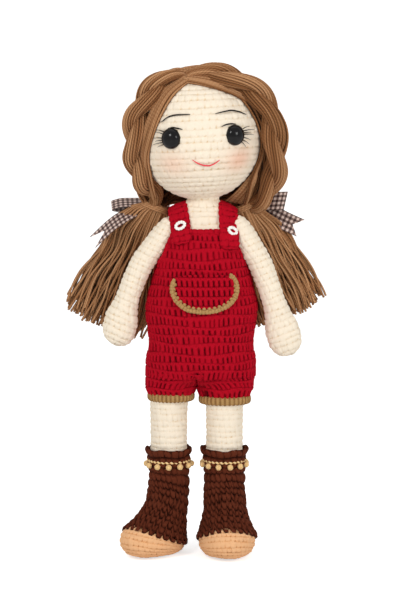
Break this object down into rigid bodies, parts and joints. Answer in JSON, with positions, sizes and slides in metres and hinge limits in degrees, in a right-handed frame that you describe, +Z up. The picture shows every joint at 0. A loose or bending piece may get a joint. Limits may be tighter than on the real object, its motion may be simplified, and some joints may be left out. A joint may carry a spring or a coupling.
{
  "type": "crochet doll",
  "caption": "Stuffed crochet doll in overalls and boots, with yarn pigtails, ribbon bows and glossy eyes; soft limbs swing at the hips and shoulders.",
  "frame": {"origin": "middle of the doll's box, on the floor under its soles", "axes": "+Z up, -Y the way the face looks, +X to the doll's own left"},
  "size_m": [0.1692, 0.0878, 0.3258],
  "materials": {
    "skin_yarn": "crochet cotton, matt",
    "red_yarn": "crochet cotton, matt",
    "tan_yarn": "crochet cotton, matt",
    "boot_yarn": "crochet cotton, matt",
    "sole_yarn": "crochet cotton, matt",
    "hair_yarn": "loose acrylic yarn, slight sheen",
    "white_yarn": "crochet cotton, matt",
    "gold_trim": "woven braid with pom-poms, matt",
    "gingham_ribbon": "woven gingham ribbon, matt",
    "black_thread": "embroidery thread",
    "red_thread": "embroidery thread",
    "eye_plastic": "polished",
    "washer_plastic": "moulded",
    "fibre_stuffing": "loose polyester fibre"
  },
  "bodies": {
    "torso": {"body_cover": "skin_yarn", "body_stuffing": "fibre_stuffing", "overalls_trunk": "red_yarn", "strap_l": "red_yarn", "strap_r": "red_yarn", "button_l": "white_yarn", "button_r": "white_yarn", "pocket": "red_yarn", "pocket_edging": "tan_yarn"},
    "head": {"head_cover": "skin_yarn", "head_stuffing": "fibre_stuffing", "mouth": "red_thread", "hair_cap": "hair_yarn", "eye_l": "eye_plastic", "eye_r": "eye_plastic", "eye_washer_l": "washer_plastic", "eye_washer_r": "washer_plastic", "eyebrow_l": "black_thread", "eyebrow_r": "black_thread", "eyelashes_l": "black_thread", "eyelashes_r": "black_thread", "fringe_l": "hair_yarn", "fringe_r": "hair_yarn", "twist_l": "hair_yarn", "twist_r": "hair_yarn", "hair_tie_l": "hair_yarn", "hair_tie_r": "hair_yarn"},
    "pigtail_l": {"pigtail_l": "hair_yarn", "bow_l": "gingham_ribbon"},
    "arm_l": {"arm_cover_l": "skin_yarn", "arm_stuffing_l": "fibre_stuffing"},
    "leg_l": {"shorts_leg_l": "red_yarn", "shorts_cuff_l": "tan_yarn", "leg_cover_l": "skin_yarn", "leg_stuffing_l": "fibre_stuffing", "boot_upper_l": "boot_yarn", "boot_sole_l": "sole_yarn", "boot_rim_l": "boot_yarn", "boot_braid_l": "gold_trim"},
    "pigtail_r": {"pigtail_r": "hair_yarn", "bow_r": "gingham_ribbon"},
    "arm_r": {"arm_cover_r": "skin_yarn", "arm_stuffing_r": "fibre_stuffing"},
    "leg_r": {"shorts_leg_r": "red_yarn", "shorts_cuff_r": "tan_yarn", "leg_cover_r": "skin_yarn", "leg_stuffing_r": "fibre_stuffing", "boot_upper_r": "boot_yarn", "boot_sole_r": "sole_yarn", "boot_rim_r": "boot_yarn", "boot_braid_r": "gold_trim"}
  },
  "joints": [
    {"name": "head_tilt", "type": "hinge", "parent": "torso", "child": "head", "pos_m": [0.00351, -0.0049, 0.236], "axis": [0, 1, 0], "range_deg": [-4, 4]},
    {"name": "pigtail_swing_l", "type": "hinge", "parent": "head", "child": "pigtail_l", "pos_m": [0.0317, 0.00743, 0.23031], "axis": [0, -1, 0], "range_deg": [0, 25]},
    {"name": "pigtail_swing_r", "type": "hinge", "parent": "head", "child": "pigtail_r", "pos_m": [-0.02827, 0.00803, 0.23022], "axis": [0, 1, 0], "range_deg": [0, 25]},
    {"name": "shoulder_swing_l", "type": "hinge", "parent": "torso", "child": "arm_l", "pos_m": [0.02701, -0.0109, 0.221], "axis": [-1, 0, 0], "range_deg": [0, 95]},
    {"name": "shoulder_swing_r", "type": "hinge", "parent": "torso", "child": "arm_r", "pos_m": [-0.02039, -0.0109, 0.221], "axis": [-1, 0, 0], "range_deg": [0, 95]},
    {"name": "hip_swing_l", "type": "hinge", "parent": "torso", "child": "leg_l", "pos_m": [0.01771, -0.0049, 0.118], "axis": [-1, 0, 0], "range_deg": [-15, 40]},
    {"name": "hip_swing_r", "type": "hinge", "parent": "torso", "child": "leg_r", "pos_m": [-0.01929, -0.0049, 0.118], "axis": [-1, 0, 0], "range_deg": [-15, 40]}
  ]
}
